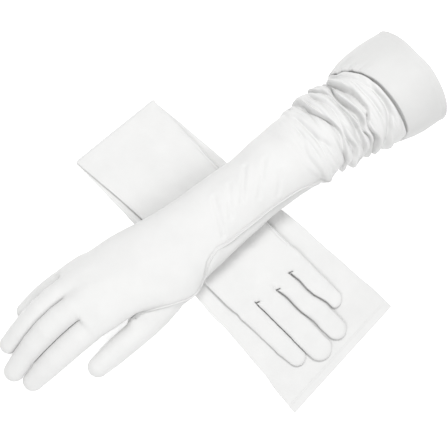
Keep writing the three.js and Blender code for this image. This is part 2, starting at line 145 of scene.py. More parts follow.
# --- right glove: gathered sleeve and cuff
SLEEVE_START_X = 72
SLEEVE_STRETCH_END_X = 158
ARM_ROUND = 300
GATHER_HEIGHT = 2.9  # how far the gathers stand out from the sleeve's mean tube
GATHER_COUNT = 5
GATHER_RADIUS = 38
FINE_RIPPLE = 0.55
FOREARM_RADIUS = 32
SEAM_DRAW = 2.0  # how far the side seam draws the gathers in
TUCK_DEPTH = 8.5  # how deep the sleeve dives under the band's edge
UNDER_BAND = 7.0  # how far it runs on under the band
UNDER_BAND_OUT = -1.5
# Each crease runs round the sleeve through points of (angle, x). Then come its depth, how wide it is on
# its hand side and cuff side, and the angles between which it shows at full depth.
# Angle 0 is the +Y side, 90 the top, 180 the side seam, 270 underneath.
CREASES = [
    ([(13, 73), (72, 81), (114, 82), (150, 87), (185, 92), (230, 86), (290, 78)], 1.6, 6.0, 3.5, (40, 170)),
    ([(20, 88), (70, 94), (93, 90), (137, 90), (185, 94), (240, 92), (300, 90)], 1.8, 5.0, 2.5, (70, 290)),
    ([(36, 96), (66, 100), (95, 104), (119, 109), (180, 110), (240, 104), (310, 98)],
     2.2, 5.0, 3.0, (-60, 190)),
    ([(0, 112), (39, 114), (62, 117), (88, 119), (111, 120), (132, 118), (152, 116), (170, 112),
      (230, 117), (300, 114)], 10.5, 5.0, 0.6, (-360, 360)),
    ([(0, 122), (57, 127), (95, 127), (114, 125), (135, 126), (172, 121), (230, 126), (300, 124)],
     5.4, 3.4, 1.5, (40, 330)),
    ([(21, 130), (60, 134), (83, 137), (120, 133), (150, 135), (178, 126), (240, 134), (310, 131)],
     7.5, 2.8, 0.7, (-40, 200)),
    ([(0, 140), (25, 141), (77, 140), (101, 141), (117, 140), (131, 143), (170, 138), (230, 142),
      (300, 139)], 10.5, 2.9, 0.6, (-360, 360)),
    ([(0, 146), (32, 147), (59, 148), (79, 150), (97, 152), (110, 147), (141, 147), (176, 146),
      (240, 151), (310, 148)], 10.0, 2.8, 0.6, (-360, 360)),
    ([(0, 151), (28, 154), (67, 162), (92, 167), (125, 163), (150, 159), (185, 156), (240, 160),
      (310, 156)], 4.4, 3.4, 1.6, (-60, 240)),
    ([(0, 156), (20, 158), (64, 170), (100, 160), (130, 156), (170, 163), (240, 168), (310, 161)],
     3.6, 2.4, 1.2, (-80, 60)),
]
SHARP_CREASE = 1.3  # the fabric hangs over a crease whose cuff side is narrower than this
CREASE_FLOOR = 2.1  # width of the bottom of such a crease
CREASE_HANG = 0.60
# Where the band begins, as (angle, x).
BAND_EDGE = [(0, 155), (23, 157), (41, 163), (61, 168), (75, 171), (95, 173), (138, 175.5), (155, 176),
             (176, 173.5), (230, 172), (300, 163)]
BAND_END_X = 216.0
BAND_INSET = 1.6
BAND_ROLL = 1.6  # radius of its rolled edges
BAND_OUTER = 2.1
BAND_INNER = -0.9
BAND_ROWS = 46
BAND_RADIUS = 46
ROLL_TURNS = [math.pi * k / 8 for k in range(9)]
# Faint tension folds on the forearm, each from one (x, angle) to another, with its depth.
FOREARM_FOLDS = [
    ([-10, 118], [2, 66], 0.9), ([4, 104], [19, 64], 0.7), ([20, 96], [40, 55], 0.9),
    ([34, 108], [56, 70], 0.7), ([50, 126], [62, 100], 0.6),
]

# --- left glove
# Edges of the sleeve half and of the half folded over it, as x, y.
LOWER_LEFT = np.array([[-44.2, -177], [-48.3, -102], [-55.5, -39], [-62.6, 49], [-73, 121]], float)
LOWER_RIGHT = np.array([[88, -152.5], [78.3, -109.5], [57, -21], [40, 46.5], [18.7, 128]], float)
LEAF_LEFT = np.array([[-72.5, 121], [-54.8, 47.7], [-44, -24], [-39.6, -50]], float)
LEAF_RIGHT = np.array([[18.2, 128], [25.7, 82], [30.9, 45.3], [38, -24], [42.4, -50]], float)
PLY_HALF = 1.3  # half the thickness of a flattened tube
EDGE_ROUNDING = 5.0  # how far in from its edge a flattened tube reaches full thickness
ROLL_RADIUS = 1.62  # middle of the flattened tube as it turns at the fold
FLOOR_GAP = 0.05
SLEEVE_Z = PLY_HALF + FLOOR_GAP
LOWER_ROWS, ROLL_ROWS, LEAF_ROWS = 190, 13, 118
AWAY = np.array([-0.0761, 0.9971])  # along the glove, away from its hand, in plan
LEFT_WRIST_Y = -50
LEFT_FINGER_CUT_Y = -78.6
LEFT_HAND_BOX = ((-46, -84, 1.4), (58, -46, 11.0))
# Each finger: x, y and half width, from inside the palm to the centre of its round tip.
LEFT_FINGERS = {
    "index": [[-24.9, -70, 9.6], [-24.6, -78, 9.5], [-19.6, -102, 9.4], [-16.4, -122, 8.9],
              [-12.8, -136.6, 8.5]],
    "middle": [[-4.6, -68, 10.6], [-3.2, -80, 10.9], [2.2, -102, 11.7], [5.0, -122, 12.0],
               [9.0, -142.5, 11.8]],
    "ring": [[15.6, -66, 9.8], [17.8, -78, 9.6], [23.2, -98, 9.8], [27.8, -116, 10.6], [32.0, -138, 9.8]],
    "little": [[35.0, -62, 10.4], [37.2, -75, 10.2], [42.4, -98, 9.3], [45.8, -114.4, 8.4]],
}
# Middle x, y and half width of the palm.
LEFT_PALM = np.array([[-0.3, -40, 41.0], [1.4, -50, 41.0], [3.0, -60, 41.0], [5.5, -72, 40.6]], float)
LEFT_CELL = 0.7
# Between one finger and the next: y of the crotch, half width of the gap, and its wander.
LEFT_SLOTS = {"index": (-75.2, 0.35, 0.4), "middle": (-76.8, 0.75, 0.9), "ring": (-70.8, 0.85, 1.0)}
LEAF_WELTS = ((0.9, 0.5), (3.4, 0.22))  # distance in from the edge, and radius
LEAF_WELT_END_Y = 118
HEM_STITCHES = (7.0, 8.6)
HEM_RADIUS = 0.2

# --- colours, light and camera
WHITE = (0.68, 0.68, 0.675)
# The band's tint is darker than the rest of the fabric: painted shade, standing in for the lesser light
# that falls on the band.
BAND_WHITE_PAINTED_SHADE = (0.63, 0.63, 0.625)
THREAD_WHITE = (0.65, 0.65, 0.645)
FLOOR_SIZE = 3.0
FLOOR_DROP = -0.0004
FLOOR_WHITE = (0.92, 0.92, 0.92, 1)
FLOOR_GLOW = 0.42
WORLD_LIGHT = 0.50
# Place, what it points at, size, all in metres, and watts.
LIGHTS = {
    "key": ((0.25, 0.40, 1.4), (0, 0, 0.03), 0.4, 13),
    "fill": ((-0.40, -0.45, 0.9), (-0.05, -0.05, 0.03), 0.8, 4.7),
}
VIEW_DISTANCE = 0.95
VIEW_TILT = math.radians(9)
VIEW_ROLL = math.radians(35.6)
VIEW_TARGET = Vector((0, 0, 0.030))
VIEW_WIDTH = 0.3983  # metres across the picture at the target
SENSOR_WIDTH = 36


# --- camera, floor and light
def add_camera():
    """Looks down at the crossing, leaning to the hand's side."""
    along = Vector((math.cos(VIEW_TILT), 0, math.sin(VIEW_TILT)))
    across = Vector((0, 1, 0))
    right = along * math.cos(VIEW_ROLL) - across * math.sin(VIEW_ROLL)
    up = along * math.sin(VIEW_ROLL) + across * math.cos(VIEW_ROLL)
    back = right.cross(up)
    data = bpy.data.cameras.new("camera")
    data.sensor_width = SENSOR_WIDTH
    data.lens = data.sensor_width * VIEW_DISTANCE / VIEW_WIDTH
    camera = bpy.data.objects.new("camera", data)
    bpy.context.scene.collection.objects.link(camera)
    turn = Matrix((right, up, back)).transposed().to_4x4()
    camera.matrix_world = Matrix.Translation(VIEW_TARGET + back * VIEW_DISTANCE) @ turn
    bpy.context.scene.camera = camera


def add_floor():
    s = FLOOR_SIZE
    data = bpy.data.meshes.new("floor")
    data.from_pydata([(-s, -s, 0), (s, -s, 0), (s, s, 0), (-s, s, 0)], [], [(0, 1, 2, 3)])
    floor = bpy.data.objects.new("floor", data)
    floor.location.z = FLOOR_DROP
    bpy.context.scene.collection.objects.link(floor)
    material = bpy.data.materials.new("floor")
    material.use_nodes = True
    shader = material.node_tree.nodes["Principled BSDF"]
    shader.inputs["Base Color"].default_value = FLOOR_WHITE
    shader.inputs["Roughness"].default_value = 0.9
    shader.inputs["Specular IOR Level"].default_value = 0.1
    shader.inputs["Emission Color"].default_value = (1, 1, 1, 1)
    shader.inputs["Emission Strength"].default_value = FLOOR_GLOW
    data.materials.append(material)


def add_area_light(name, place, target, size, power):
    data = bpy.data.lights.new(name, "AREA")
    data.shape = "SQUARE"
    data.size = size
    data.energy = power
    light = bpy.data.objects.new(name, data)
    light.location = place
    light.rotation_euler = (Vector(target) - Vector(place)).to_track_quat("-Z", "Y").to_euler()
    bpy.context.scene.collection.objects.link(light)


def add_light():
    world = bpy.data.worlds.new("studio")
    world.use_nodes = True
    background = world.node_tree.nodes["Background"]
    background.inputs["Color"].default_value = (1, 1, 1, 1)
    background.inputs["Strength"].default_value = WORLD_LIGHT
    bpy.context.scene.world = world
    for name, settings in LIGHTS.items():
        add_area_light(name, *settings)
    bpy.context.scene.view_settings.view_transform = "Standard"


# --- numeric helpers
def hermite(table):
    """A smooth curve through the table's rows, by their rising first column."""
    xs = table[:, 0]
    ys = table[:, 1:]
    slope = np.gradient(ys, xs, axis=0)

    def at(x):
        x = np.clip(x, xs[0], xs[-1])
        i = np.clip(np.searchsorted(xs, x) - 1, 0, len(xs) - 2)
        span = xs[i + 1] - xs[i]
        t = ((x - xs[i]) / span)[..., None]
        span = span[..., None]
        a, b = ys[i], ys[i + 1]
        ma, mb = slope[i] * span, slope[i + 1] * span
        return (
            a * (2 * t**3 - 3 * t**2 + 1) + ma * (t**3 - 2 * t**2 + t)
            + b * (3 * t**2 - 2 * t**3) + mb * (t**3 - t**2)
        )

    return at


def refine(rows):
    """More rows along the smooth curve through the given ones, which step along -X."""
    rows = np.array(rows, float)[::-1]
    x = np.linspace(rows[0, 0], rows[-1, 0], CHAIN_ROWS)
    return np.column_stack([x, hermite(rows)(x)])[::-1]


def resample(points, count):
    """Evenly spaced points along a smooth line through the given ones."""
    points = np.asarray(points, float)
    step = np.concatenate([[0], np.cumsum(np.linalg.norm(np.diff(points, axis=0), axis=1))])
    curve = hermite(np.column_stack([step, points]))
    return curve(np.linspace(0, step[-1], count))


def smooth_min(a, b, k):
    """The smaller of two distances, with a fillet of size k where they meet."""
    h = np.clip(0.5 + 0.5 * (b - a) / k, 0, 1)
    return b * (1 - h) + a * h - k * h * (1 - h)


def smooth_max(a, b, k):
    return -smooth_min(-a, -b, k)


def smoothstep(a, b, x):
    t = np.clip((x - a) / (b - a), 0, 1)
    return t * t * (3 - 2 * t)


def waves(seed, u, v, count, low, high, slant=0.4):
    """A sum of plane waves with lengths between low and high."""
    rng = np.random.default_rng(seed)
    total = np.zeros(np.broadcast(u, v).shape)
    for _ in range(count):
        length = rng.uniform(low, high)
        direction = rng.normal(0, slant)
        phase = rng.uniform(0, 2 * math.pi)
        along = u * math.cos(direction) + v * math.sin(direction)
        total = total + np.sin(2 * math.pi * along / length + phase)
    return total / math.sqrt(count)


# --- distance fields of the right hand
arm_at = hermite(ARM)
seam_angle = hermite(SEAM_ANGLE)
FINGER_CHAINS = {name: refine(rows) for name, rows in FINGERS.items()}
THUMB_CHAIN = refine(THUMB)


def chain_field(rows, x, y, z, flatten):
    """Distance to a chain of round cones, each between two rows of x, y, z, radius."""
    best = None
    for a, b in zip(rows, rows[1:]):
        d = (b[0] - a[0], b[1] - a[1], (b[2] - a[2]) * flatten)
        length2 = d[0] ** 2 + d[1] ** 2 + d[2] ** 2
        px, py, pz = x - a[0], y - a[1], (z - a[2]) * flatten
        t = np.clip((px * d[0] + py * d[1] + pz * d[2]) / length2, 0, 1)
        distance = np.sqrt((px - t * d[0]) ** 2 + (py - t * d[1]) ** 2 + (pz - t * d[2]) ** 2)
        f = distance - (a[3] + (b[3] - a[3]) * t)
        best = f if best is None else smooth_min(best, f, CHAIN_FILLET)
    return best


def arm_field(x, y, z):
    """Distance to the skin of the arm and palm, positive outside."""
    rows = arm_at(x)
    yc, zc, w, h, roll = (rows[..., k] for k in range(5))
    c, s = np.cos(np.radians(roll)), np.sin(np.radians(roll))
    dy, dz = y - yc, z - zc
    a = (dy * c + dz * s) / w
    b = (-dy * s + dz * c) / h
    q = np.sqrt(a * a + b * b) + 1e-9
    steep = np.sqrt((a / w) ** 2 + (b / h) ** 2) / q
    return (q - 1) / steep


def finger_fields(x, y, z):
    return {name: chain_field(rows, x, y, z, FINGER_FLATTEN) for name, rows in FINGER_CHAINS.items()}


def thumb_field(x, y, z):
    thumb = chain_field(THUMB_CHAIN, x, y, z, THUMB_FLATTEN)
    return smooth_min(thumb, chain_field(WEB, x, y, z, THUMB_FLATTEN), WEB_FILLET)


def palm_field(x, y, z):
    """The palm, which ends at the fingers' crotches."""
    end = PALM_END_X + LITTLE_SETBACK * smoothstep(33, 43, y)
    return smooth_max(arm_field(x, y, z), end - x, 5.0)


def hand_field(x, y, z):
    """The whole hand, its fingers merged inside the palm only."""
    fillet = FINGER_FILLET + PALM_FILLET * smoothstep(-156, -128, x)
    joined = None
    for f in finger_fields(x, y, z).values():
        joined = f if joined is None else smooth_min(joined, f, fillet)
    hand = smooth_min(joined, palm_field(x, y, z), 2.0 + fillet * 0.8)
    return smooth_min(hand, thumb_field(x, y, z), THUMB_FILLET)


def finger_field(name, x, y, z):
    """One finger, cut from its neighbours halfway between."""
    fields = finger_fields(x, y, z)
    apart = smoothstep(-152, -157, x)
    f = np.maximum(hand_field(x, y, z), (fields[name] - thumb_field(x, y, z)) / 2)
    for other, g in fields.items():
        if other != name:
            f = smooth_max(f, (fields[name] - g) / 2 + FINGER_GAP * apart, 0.02 + FINGER_EDGE * apart)
    return f


# --- meshes
def mesh_object(name, points, faces):
    data = bpy.data.meshes.new(name)
    data.from_pydata((np.asarray(points) * MM).tolist(), [], [list(map(int, f)) for f in faces])
    data.validate()
    data.polygons.foreach_set("use_smooth", [True] * len(data.polygons))
    data.update()
    piece = bpy.data.objects.new(name, data)
    bpy.context.scene.collection.objects.link(piece)
    return piece


def slope_of(field, points, step=SLOPE_STEP):
    """The field's gradient at each point."""
    x, y, z = points.T
    return np.stack([
        field(x + step, y, z) - field(x - step, y, z),
        field(x, y + step, z) - field(x, y - step, z),
        field(x, y, z + step) - field(x, y, z - step),
    ], axis=1) / (2 * step)


def settle(points, field, rounds):
    """Moves points onto the zero surface of the field."""
    for _ in range(rounds):
        slope = slope_of(field, points)
        size2 = np.maximum((slope**2).sum(1), 0.05)
        move = -(field(*points.T) / size2)[:, None] * slope
        far = np.linalg.norm(move, axis=1)
        points = points + move * np.minimum(1, 0.5 / np.maximum(far, 1e-9))[:, None]
    return points


def neighbour_mean(points, faces):
    """The mean of each point's neighbours along the quads' edges."""
    edges = np.concatenate([faces[:, [0, 1]], faces[:, [1, 2]], faces[:, [2, 3]], faces[:, [3, 0]]])
    total = np.zeros_like(points)
    count = np.zeros(len(points))
    for a, b in ((0, 1), (1, 0)):
        np.add.at(total, edges[:, a], points[edges[:, b]])
        np.add.at(count, edges[:, a], 1)
    return total / np.maximum(count, 1)[:, None]


def largest_part(points, faces):
    """Keeps only the largest part of a mesh."""
    label = np.arange(len(points))
    edges = np.concatenate([faces[:, [0, 1]], faces[:, [1, 2]], faces[:, [2, 3]]])
    settled = False
    while not settled:
        low = np.minimum(label[edges[:, 0]], label[edges[:, 1]])
        new = label.copy()
        np.minimum.at(new, edges[:, 0], low)
        np.minimum.at(new, edges[:, 1], low)
        new = new[new]
        settled = (new == label).all()
        label = new
    keep = label == np.bincount(label).argmax()
    place = np.cumsum(keep) - 1
    return points[keep], place[faces[keep[faces].all(axis=1)]]


def mesh_field(field, low, high, cell=CELL, relax=4):
    """Quads over the zero surface of a field inside a box."""
    axes = [np.arange(math.floor(a / cell), math.ceil(b / cell) + 1) * cell for a, b in zip(low, high)]
    x, y, z = np.meshgrid(*axes, indexing="ij", sparse=True)
    shape = tuple(len(a) for a in axes)
    values = np.broadcast_to(field(x, y, z), shape).astype(np.float32)
    grid = openvdb.FloatGrid(3.0 * cell)
    grid.copyFromArray(np.ascontiguousarray(np.clip(values, -3 * cell, 3 * cell)))
    points, quads = grid.convertToQuads()
    points = points.astype(float) * cell + np.array([a[0] for a in axes])
    points, quads = largest_part(points, quads.astype(np.int64))
    for _ in range(relax):
        points = points + 0.5 * (neighbour_mean(points, quads) - points)
        points = settle(points, field, 1)
    return settle(points, field, 2), quads


def open_mesh(points, faces):
    made = bmesh.new()
    vertices = [made.verts.new(p) for p in points]
    made.verts.index_update()
    for f in faces:
        made.faces.new([vertices[i] for i in f])
    return made


def close_mesh(made):
    """A mesh's points and faces, without loose points."""
    loose = [v for v in made.verts if not v.link_faces]
    bmesh.ops.delete(made, geom=loose, context="VERTS")
    made.verts.index_update()
    points = np.array([v.co[:] for v in made.verts])
    faces = [[v.index for v in f.verts] for f in made.faces]
    made.free()
    return points, faces


def cut_mesh(points, faces, axis, value, keep_above):
    """Keeps the part of a mesh on one side of a plane."""
    made = open_mesh(points, faces)
    normal = Vector((0, 0, 0))
    normal[axis] = 1
    whole = made.verts[:] + made.edges[:] + made.faces[:]
    bmesh.ops.bisect_plane(
        made, geom=whole, dist=CUT_SNAP, plane_co=normal * value, plane_no=normal,
        clear_inner=keep_above, clear_outer=not keep_above,
    )
    return close_mesh(made)


def grid_faces(rows, columns):
    """Quads of a tube of rows x columns points."""
    i, j = np.meshgrid(np.arange(rows - 1), np.arange(columns), indexing="ij")
    k = (j + 1) % columns
    quads = [i * columns + j, i * columns + k, (i + 1) * columns + k, (i + 1) * columns + j]
    return np.stack(quads, -1).reshape(-1, 4)


# --- materials
def add_texture(nodes, kind, **inputs):
    node = nodes.new("ShaderNodeTex" + kind)
    for name, value in inputs.items():
        node.inputs[name].default_value = value
    return node


def fabric_material(name, tint, weave, sheen):
    """Fine matt stretch knit with a little sheen."""
    material = bpy.data.materials.new(name)
    material.use_nodes = True
    nodes = material.node_tree.nodes
    links = material.node_tree.links
    shader = nodes["Principled BSDF"]
    shader.inputs["Roughness"].default_value = 0.72
    shader.inputs["Specular IOR Level"].default_value = 0.25
    shader.inputs["Sheen Weight"].default_value = sheen
    shader.inputs["Sheen Roughness"].default_value = 0.45
    place = nodes.new("ShaderNodeTexCoord")
    ribs = add_texture(nodes, "Wave", Scale=1900, Distortion=1.2, Detail=1)
    ribs.wave_type = "BANDS"
    ribs.bands_direction = "DIAGONAL"
    cells = add_texture(nodes, "Voronoi", Scale=2600)
    mottle = add_texture(nodes, "Noise", Scale=55, Detail=5)
    height = nodes.new("ShaderNodeMath")
    height.operation = "MULTIPLY_ADD"
    height.inputs[1].default_value = 0.6
    bump = nodes.new("ShaderNodeBump")
    bump.inputs["Strength"].default_value = 0.35 * weave
    bump.inputs["Distance"].default_value = 0.00006
    ramp = nodes.new("ShaderNodeValToRGB")
    dark, light = ramp.color_ramp.elements
    dark.position = 0.3
    dark.color = (*[c * 0.965 for c in tint], 1)
    light.position = 0.7
    light.color = (*tint, 1)
    for texture in (ribs, cells, mottle):
        links.new(place.outputs["Object"], texture.inputs["Vector"])
    links.new(cells.outputs["Distance"], height.inputs[0])
    links.new(ribs.outputs["Fac"], height.inputs[2])
    links.new(height.outputs["Value"], bump.inputs["Height"])
    links.new(mottle.outputs["Fac"], ramp.inputs["Fac"])
    links.new(ramp.outputs["Color"], shader.inputs["Base Color"])
    links.new(bump.outputs["Normal"], shader.inputs["Normal"])
    return material


FABRIC = fabric_material("glove_fabric", WHITE, weave=1.0, sheen=0.25)
# The band's darker tint is painted shade.
BAND = fabric_material("glove_band", BAND_WHITE_PAINTED_SHADE, weave=0.8, sheen=0.25)
THREAD = fabric_material("glove_thread", THREAD_WHITE, weave=0.4, sheen=0.1)


def finish_piece(piece, material):
    piece.data.materials.append(material)
    return piece


def fabric_piece(name, points, faces):
    return finish_piece(mesh_object(name, points, faces), FABRIC)


def bend_x(piece, before, after, start, end):
    """Bakes the piece's transform into its mesh. The arguments before, after, start and end are not used.
    """
    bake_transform(piece)


# --- right hand
def add_right_hand():
    points, faces = mesh_field(hand_field, *HAND_BOX)
    points, faces = cut_mesh(points, faces, 0, HAND_END_X, keep_above=False)
    points, faces = cut_mesh(points, faces, 0, CROTCH_X, keep_above=True)
    points, faces = cut_thumb(points, faces, keep=False)
    points = press_along(points, hand_seam_path(0), hand_field)
    piece = fabric_piece("right_hand_fabric", points, faces)
    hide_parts("right_hand_back", "right_palm", "right_hand_side_seam")
    bend_x(piece, "right_forearm", "right_hand", *WRIST_BEND)


def hand_seam_path(number):
    """The side seam over the hand, and its second row of stitching."""
    x = np.array([float(HAND_END_X)])
    first = sleeve_surface(x, seam_angle(x)[..., 0])
    guide = np.concatenate([first, HAND_SEAM]) + SECOND_ROW * number
    return settle(resample(guide, SEAM_POINTS), hand_field, 6)


def press_along(points, path, field, depth=HAND_GROOVE, reach=1.7, width=1.1):
    """Presses a groove into a surface on each side of a seam."""
    near = (points > path.min(axis=0) - 6).all(axis=1) & (points < path.max(axis=0) + 6).all(axis=1)
    index = np.nonzero(near)[0]
    distance = np.full(len(index), np.inf)
    for place in path:
        distance = np.minimum(distance, np.linalg.norm(points[index] - place, axis=1))
    ease = smoothstep(HAND_END_X, HAND_END_X - 6, points[index, 0])
    amount = depth * np.exp(-(((distance - reach) / width) ** 2)) * ease
    slope = slope_of(field, points[index], GROOVE_STEP)
    slope /= np.linalg.norm(slope, axis=1)[:, None] + 1e-9
    points = points.copy()
    points[index] -= slope * amount[:, None]
    return points


def in_thumb(points):
    """True for points that belong to the thumb and lie beyond its ring."""
    x, y, z = points.T
    middle = np.interp(x, THUMB[::-1, 0], THUMB[::-1, 1])
    side = THUMB_SIDE_Y - THUMB_LEAN * np.clip(THUMB_RING_X - x, 0, 20)
    return (x < THUMB_RING_X + 1e-3) & (y < middle + THUMB_REACH) & (y < side) & (z < THUMB_TOP_Z)


def cut_thumb(points, faces, keep):
    """Splits off the thumb at its ring; keep says whether the thumb or the rest stays."""
    made = open_mesh(points, faces)
    near = [f for f in made.faces if all(v.co.y < THUMB_EDGE_Y and v.co.z < THUMB_TOP_Z for v in f.verts)]
    corners = list({v for f in near for v in f.verts})
    edges = list({e for f in near for e in f.edges})
    bmesh.ops.bisect_plane(
        made, geom=corners + edges + near, dist=CUT_SNAP, plane_co=(THUMB_RING_X, 0, 0), plane_no=(1, 0, 0),
    )
    middles = np.array([f.calc_center_median()[:] for f in made.faces])
    drop = [f for f, inside in zip(made.faces, in_thumb(middles)) if inside != keep]
    bmesh.ops.delete(made, geom=drop, context="FACES")
    return close_mesh(made)


def add_right_thumb():
    points, faces = mesh_field(hand_field, *THUMB_BOX)
    points, faces = cut_thumb(points, faces, keep=True)
    root = cut_mesh(points, faces, 0, THUMB_SPLIT_X, keep_above=True)
    end = cut_mesh(points, faces, 0, THUMB_SPLIT_X, keep_above=False)
    piece = fabric_piece("right_thumb_root_fabric", *root)
    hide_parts("right_thumb_base")
    bend_x(piece, "right_hand", "right_thumb_root", THUMB_RING_X, THUMB_SPLIT_X)
    piece = fabric_piece("right_thumb_end_fabric", *end)
    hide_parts("right_thumb_tip")
    bend_x(piece, "right_thumb_root", "right_thumb_end", *THUMB_BEND)


def finger_box(rows):
    """The box round the part of a finger that lies beyond the palm."""
    reach = rows[:, 3].max() + 2
    low_z = max(rows[:, 2].min() - reach, -1)
    low = (rows[-1, 0] - rows[-1, 3] - 2, rows[:, 1].min() - reach, low_z)
    high = (CROTCH_X + 3, rows[:, 1].max() + reach, rows[:, 2].max() + reach)
    return low, high


def add_right_fingers():
    for name, rows in FINGER_CHAINS.items():
        points, faces = mesh_field(lambda x, y, z: finger_field(name, x, y, z), *finger_box(rows))
        points, faces = cut_mesh(points, faces, 0, CROTCH_X, keep_above=False)
        split = FINGER_SPLIT_X[name]
        root = cut_mesh(points, faces, 0, split, keep_above=True)
        end = cut_mesh(points, faces, 0, split, keep_above=False)
        piece = fabric_piece(f"right_{name}_root_fabric", *root)
        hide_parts(f"right_{name}_base")
        bend_x(piece, "right_hand", f"right_{name}_root", CROTCH_X, split + 3)
        piece = fabric_piece(f"right_{name}_end_fabric", *end)
        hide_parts(f"right_{name}_tip")
        bend_x(piece, f"right_{name}_root", f"right_{name}_end", split - 1, CURL_X[name] - 7)


# --- right forearm, gathered sleeve and cuff
def around(points):
    """A smooth closed curve of x by angle in degrees."""
    table = np.array(points, float)
    curve = hermite(np.concatenate([table - [360, 0], table, table + [360, 0]]))
    return lambda angle: curve(angle)[..., 0]


band_edge = around(BAND_EDGE)


def shown(angle, window):
    """1 inside a window of angles and 0 outside it, fading over 30 degrees."""
    low, high = window
    if high - low >= 360:
        return 1.0
    middle, half = (low + high) / 2, (high - low) / 2
    off = np.abs((angle - middle + 180) % 360 - 180)
    return 1 - smoothstep(half - 5, half + 25, off)


def crease_line(number, curve, angle):
    """Where a crease runs: x at each angle."""
    return around(curve)(angle) + 0.9 * np.sin(np.radians(angle) * 5 + number * 2.1)


def gather_lean(x, angle):
    """How far the fabric before a sharp crease hangs over it, towards the cuff."""
    lean = np.zeros(np.broadcast(x, angle).shape)
    for number, (curve, depth, before, after, window) in enumerate(CREASES):
        if after <= SHARP_CREASE:
            s = x - crease_line(number, curve, angle)
            near = np.exp(-np.abs(s) / before)
            hang = np.where(s < 0, 4 * near * (1 - near), 0)
            uneven = 0.75 + 0.25 * np.sin(np.radians(angle) * 4 + number)
            lean = lean + CREASE_HANG * before * hang * shown(angle, window) * uneven
    return lean


def crease_relief(number, x, angle):
    """How deep one crease is at each place."""
    curve, depth, before, after, window = CREASES[number]
    s = x - crease_line(number, curve, angle)
    sharp = after <= SHARP_CREASE
    floor = CREASE_FLOOR * (0.7 + 0.5 * np.sin(np.radians(angle) * 4 + number * 2.3)) if sharp else 0
    away = np.where(s < 0, -s / before, np.maximum(s - floor, 0) / after)
    uneven = 0.85 + 0.3 * np.sin(np.radians(angle) * 3 + number * 1.7)
    return depth * uneven * shown(angle, window) * np.exp(-(away ** np.where(s < 0, 1.15, 1.8)))


def gather_relief(x, angle):
    """How far the gathered sleeve stands out from its mean tube, in millimetres."""
    zone = smoothstep(SLEEVE_START_X - 6, 112, x)
    relief = GATHER_HEIGHT * zone
    for number in range(len(CREASES)):
        relief = relief - crease_relief(number, x, angle)
    fine = waves(7, x, np.radians(angle) * GATHER_RADIUS * 0.22, 9, 4.5, 10.0)
    relief = relief + FINE_RIPPLE * smoothstep(78, 106, x) * (fine - 0.35 * fine**2)
    # The sleeve is drawn in along its side seam.
    seam_side = np.exp(-(((angle - 172) / 22) ** 2))
    puckers = 0.5 + 0.8 * np.sin(x / 2.6 + 1.2 * np.sin(x / 9))
    relief = relief - SEAM_DRAW * seam_side * zone * puckers
    # It dives under the band's edge and meets the band's inside.
    past_edge = x - band_edge(angle)
    relief = relief - TUCK_DEPTH * np.exp(-((past_edge / 1.3) ** 2)) * smoothstep(146, 156, x)
    inside = smoothstep(0, 4, past_edge)
    return relief * (1 - inside) + UNDER_BAND_OUT * inside


def forearm_relief(x, angle):
    """Faint tension folds on the smooth forearm."""
    relief = np.zeros(np.broadcast(x, angle).shape)
    for (xa, aa), (xb, ab), depth in FOREARM_FOLDS:
        length2 = (xb - xa) ** 2 + (ab - aa) ** 2
        t = np.clip(((x - xa) * (xb - xa) + (angle - aa) * (ab - aa)) / length2, 0, 1)
        off = np.hypot(x - (xa + (xb - xa) * t), (angle - (aa + (ab - aa) * t)) * 0.55)
        relief = relief - depth * np.exp(-((off / 3.0) ** 2))
        relief = relief + 0.5 * depth * np.exp(-(((off - 4) / 3.0) ** 2))
    return relief * smoothstep(HAND_END_X, HAND_END_X + 8, x)


def seam_relief(x, angle):
    """A groove on the palm side of the side seam."""
    across = np.radians(angle - seam_angle(x)[..., 0]) * FOREARM_RADIUS
    fade = smoothstep(HAND_END_X, HAND_END_X + 14, x) * (1 - smoothstep(100, 125, x))
    return -SEAM_GROOVE * smoothstep(0.6, 1.8, across) * (1 - smoothstep(3, 16, across)) * fade


def sleeve_relief(x, angle):
    return gather_relief(x, angle) + forearm_relief(x, angle) + seam_relief(x, angle)


def tube_point(x, angle, out):
    """A point out from the arm's skin at a place along and round it."""
    rows = arm_at(x)
    yc, zc, w, h, roll = (rows[..., k] for k in range(5))
    a = np.radians(angle)
    r = np.radians(roll)
    across, rise = (w + out) * np.cos(a), (h + out) * np.sin(a)
    y = yc + across * np.cos(r) - rise * np.sin(r)
    z = zc + across * np.sin(r) + rise * np.cos(r)
    # What would sink into the surface under it lies flat on it.
    return y, smooth_max(z, 0.1, 0.8)


def sleeve_surface(x, angle, out=0.0):
    y, z = tube_point(x, angle, sleeve_relief(x, angle) + out)
    return np.stack([x, y, z], -1)


def add_right_sleeve():
    """One tube from the wrist to under the band, gathers included."""
    angle = np.arange(ARM_ROUND) * 360 / ARM_ROUND
    smooth_part = np.arange(HAND_END_X, SLEEVE_START_X, 1.2)
    gathered_part = np.arange(SLEEVE_START_X, 166, 0.42)
    along = np.concatenate([smooth_part, gathered_part, np.linspace(166, 172, 16)])
    # The last rows lean with the band's edge.
    end = band_edge(angle) + UNDER_BAND
    x = along[:, None] + (end - along[-1])[None, :] * smoothstep(120, 171, along)[:, None]
    a = np.broadcast_to(angle, x.shape)
    points = sleeve_surface(x, a)
    points[..., 0] += gather_lean(x, a)
    piece = fabric_piece("right_sleeve_fabric", points.reshape(-1, 3), grid_faces(len(along), ARM_ROUND))
    gathers = [f"right_gather_{k + 1}" for k in range(GATHER_COUNT)]
    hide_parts("right_forearm_back", "right_forearm_palm", "right_forearm_side_seam", *gathers)
    bend_x(piece, "right_forearm", "right_cuff", SLEEVE_START_X, SLEEVE_STRETCH_END_X)


